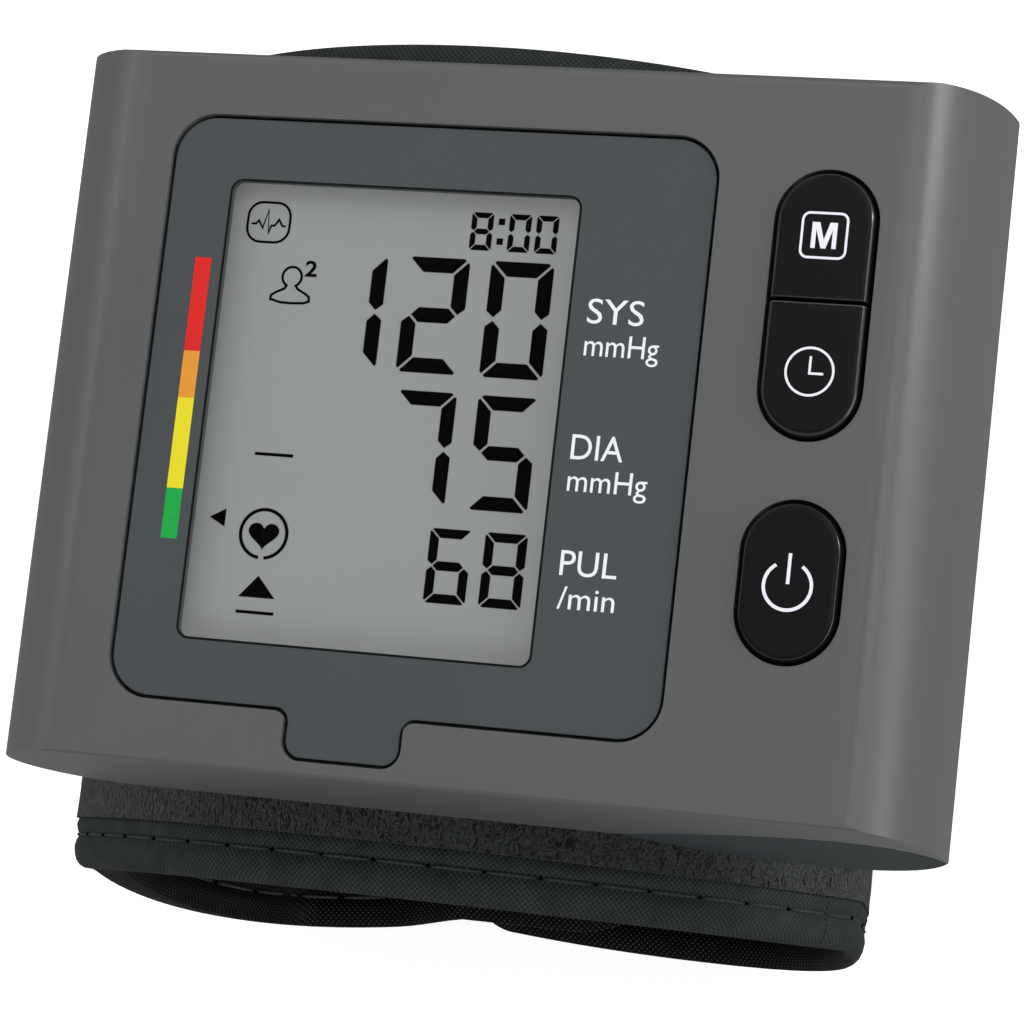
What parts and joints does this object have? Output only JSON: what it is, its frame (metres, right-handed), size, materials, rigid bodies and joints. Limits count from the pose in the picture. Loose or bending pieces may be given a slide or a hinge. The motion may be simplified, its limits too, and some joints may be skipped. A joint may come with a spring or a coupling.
{
  "type": "wrist blood pressure monitor",
  "caption": "Wrist blood pressure monitor: display housing with press keys and battery door on a closed hook-and-loop cuff.",
  "frame": {"origin": "middle of the footprint, on the surface that the closed cuff rests on", "axes": "+Z out of the display face, +X to the right of the display, +Y to the top of the display"},
  "size_m": [0.0898, 0.0838, 0.0769],
  "materials": {
    "shell": "satin",
    "panel": "satin",
    "door": "satin",
    "window": "polished",
    "lcd": "satin",
    "button": "satin",
    "frame": "satin",
    "rubber": "matt",
    "board": "satin",
    "steel": "satin",
    "cell": "satin",
    "hose": "satin",
    "moulding": "satin",
    "pile": "loop pile",
    "binding": "woven",
    "lining": "woven",
    "bladder": "satin",
    "sheet": "satin"
  },
  "bodies": {
    "housing": {"front_shell": "shell", "display_panel": "panel", "rear_cover": "panel", "display_window": "window", "lcd_glass": "lcd", "lcd_frame": "frame", "lcd_contact_strip": "rubber", "main_board": "board", "memory_switch": "steel", "time_switch": "steel", "power_switch": "steel", "pump_motor": "steel", "release_valve": "steel", "battery_spring_1": "steel", "battery_spring_2": "steel", "contact_positive_1": "steel", "contact_negative_1": "steel", "contact_positive_2": "steel", "contact_negative_2": "steel", "case_screw_1": "steel", "case_screw_2": "steel", "case_screw_3": "steel", "case_screw_4": "steel", "cuff_rivet_1": "steel", "cuff_rivet_2": "steel", "cell_1": "cell", "cell_2": "cell", "pump_hose": "hose", "valve_hose": "hose", "sensor_hose": "hose", "pump_head": "moulding", "air_manifold": "moulding", "pressure_sensor": "moulding", "buzzer": "moulding", "cuff_nozzle": "moulding", "cuff_pile": "pile", "cuff_binding_lower": "binding", "cuff_binding_upper": "binding", "cuff_lining": "lining", "cuff_bladder": "bladder", "cuff_stiffener": "sheet"},
    "memory_key": {"memory_button": "button", "memory_switch_plunger": "moulding"},
    "time_key": {"time_button": "button", "time_switch_plunger": "moulding"},
    "power_key": {"power_button": "button", "power_switch_plunger": "moulding"},
    "door": {"battery_door": "door"},
    "flap": {"flap_pile": "pile", "flap_lining": "lining", "flap_binding": "binding", "hook_patch": "moulding"}
  },
  "joints": [
    {"name": "memory_press", "type": "slide", "parent": "housing", "child": "memory_key", "axis": [0, 0, -1], "range_m": [0, 0.0005], "stiffness_N_per_m": 2400},
    {"name": "time_press", "type": "slide", "parent": "housing", "child": "time_key", "axis": [0, 0, -1], "range_m": [0, 0.0005], "stiffness_N_per_m": 2400},
    {"name": "power_press", "type": "slide", "parent": "housing", "child": "power_key", "axis": [0, 0, -1], "range_m": [0, 0.0005], "stiffness_N_per_m": 2400},
    {"name": "door_swing", "type": "hinge", "parent": "housing", "child": "door", "pos_m": [0.0163, 0, 0.05706], "axis": [0, 1, 0], "range_deg": [0, 15]},
    {"name": "flap_open", "type": "hinge", "parent": "housing", "child": "flap", "pos_m": [0.03265, 0, 0.026], "axis": [0, -1, 0], "range_deg": [0, 100]}
  ]
}
